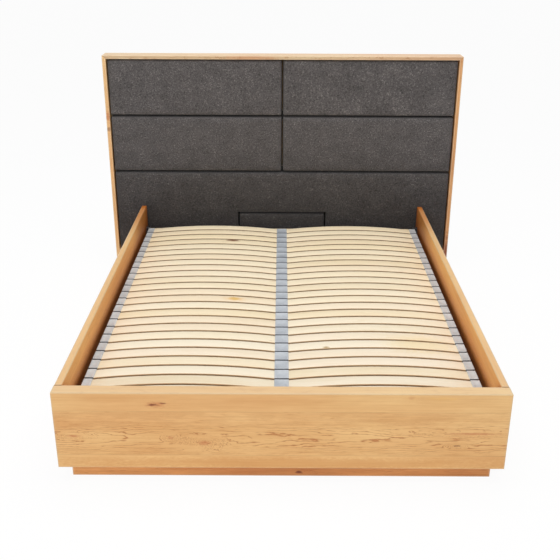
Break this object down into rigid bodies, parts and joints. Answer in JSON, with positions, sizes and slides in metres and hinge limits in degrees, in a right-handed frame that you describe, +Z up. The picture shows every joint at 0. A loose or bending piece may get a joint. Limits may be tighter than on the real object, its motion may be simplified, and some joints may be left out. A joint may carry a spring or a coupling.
{
  "type": "ottoman bed",
  "caption": "Low oak double bed with a padded headboard, a set-back plinth, a bowed slat base that lifts on gas springs and storage below.",
  "frame": {"origin": "on the floor, at the middle of the bed's outline", "axes": "+X to the right seen from the foot, +Y from the foot to the head, +Z up"},
  "size_m": [2.026, 2.216, 1.274],
  "materials": {
    "oak": "oiled, straight grain with a few knots",
    "plinth_oak": "oiled, darker",
    "birch": "pale bent plywood, satin",
    "softwood": "planed, bare",
    "hardboard": "pressed fibreboard, matt",
    "grey_plastic": "moulded, satin",
    "wool": "mottled grey wool cloth",
    "zinc_steel": "zinc plated",
    "black_steel": "black powder coat",
    "chrome": "hard chrome rod"
  },
  "bodies": {
    "root": {"footboard": "oak", "side_rail_left": "oak", "side_rail_right": "oak", "head_cross_rail": "softwood", "plinth_front": "plinth_oak", "plinth_left": "plinth_oak", "plinth_right": "plinth_oak", "plinth_back": "softwood", "plinth_middle": "softwood", "floor_batten_left": "softwood", "floor_batten_right": "softwood", "floor_panel_left": "hardboard", "floor_panel_right": "hardboard", "rest_batten_left": "softwood", "rest_batten_right": "softwood", "rest_batten_foot": "softwood", "corner_block_left": "softwood", "corner_block_right": "softwood", "head_angle_left": "zinc_steel", "head_angle_right": "zinc_steel", "headboard_stile_left": "oak", "headboard_stile_right": "oak", "headboard_top_board": "oak", "headboard_lower_board": "oak", "headboard_batten_upper": "softwood", "headboard_batten_lower": "softwood", "headboard_back_panel": "hardboard", "pad_upper_left": "wool", "pad_upper_right": "wool", "pad_middle_left": "wool", "pad_middle_right": "wool", "pad_lower": "wool", "pad_insert": "wool", "pad_board_upper_left": "softwood", "pad_board_upper_right": "softwood", "pad_board_middle_left": "softwood", "pad_board_middle_right": "softwood", "pad_board_lower": "softwood", "hinge_plate_left": "black_steel", "hinge_plate_right": "black_steel", "spring_bracket_left": "black_steel", "spring_bracket_right": "black_steel"},
    "slatted_base": {"frame_side_bar_left": "birch", "frame_side_bar_right": "birch", "frame_foot_bar": "birch", "frame_head_bar": "birch", "frame_centre_bar": "birch", "slats_left": "birch", "slats_right": "birch", "centre_slat_holders": "grey_plastic", "hinge_arm_left": "black_steel", "hinge_arm_right": "black_steel", "hinge_pin_left": "zinc_steel", "hinge_pin_right": "zinc_steel", "spring_anchor_left": "black_steel", "spring_anchor_right": "black_steel"},
    "cylinder_left": {"gas_cylinder_left": "black_steel"},
    "cylinder_right": {"gas_cylinder_right": "black_steel"},
    "rod_left": {"gas_rod_left": "chrome"},
    "rod_right": {"gas_rod_right": "chrome"}
  },
  "joints": [
    {"name": "base_lift", "type": "hinge", "parent": "root", "child": "slatted_base", "pos_m": [0, 0.963, 0.26199], "axis": [-1, 0, 0], "range_deg": [0, 45]},
    {"name": "cylinder_turn_left", "type": "hinge", "parent": "root", "child": "cylinder_left", "pos_m": [-0.7464, 0.89993, 0.09875], "axis": [-1, 0, 0], "range_deg": [0, 22.5]},
    {"name": "cylinder_turn_right", "type": "hinge", "parent": "root", "child": "cylinder_right", "pos_m": [0.7464, 0.89993, 0.09875], "axis": [-1, 0, 0], "range_deg": [0, 22.5]},
    {"name": "rod_turn_left", "type": "hinge", "parent": "slatted_base", "child": "rod_left", "pos_m": [-0.7464, 0.79009, 0.23499], "axis": [-1, 0, 0], "range_deg": [-22.5, 0]},
    {"name": "rod_turn_right", "type": "hinge", "parent": "slatted_base", "child": "rod_right", "pos_m": [0.7464, 0.79009, 0.23499], "axis": [-1, 0, 0], "range_deg": [-22.5, 0]}
  ],
  "couplings": [
    {"joint": "cylinder_turn_left", "follows": "base_lift", "ratio": 0.5},
    {"joint": "cylinder_turn_right", "follows": "base_lift", "ratio": 0.5},
    {"joint": "rod_turn_left", "follows": "base_lift", "ratio": -0.5},
    {"joint": "rod_turn_right", "follows": "base_lift", "ratio": -0.5}
  ]
}
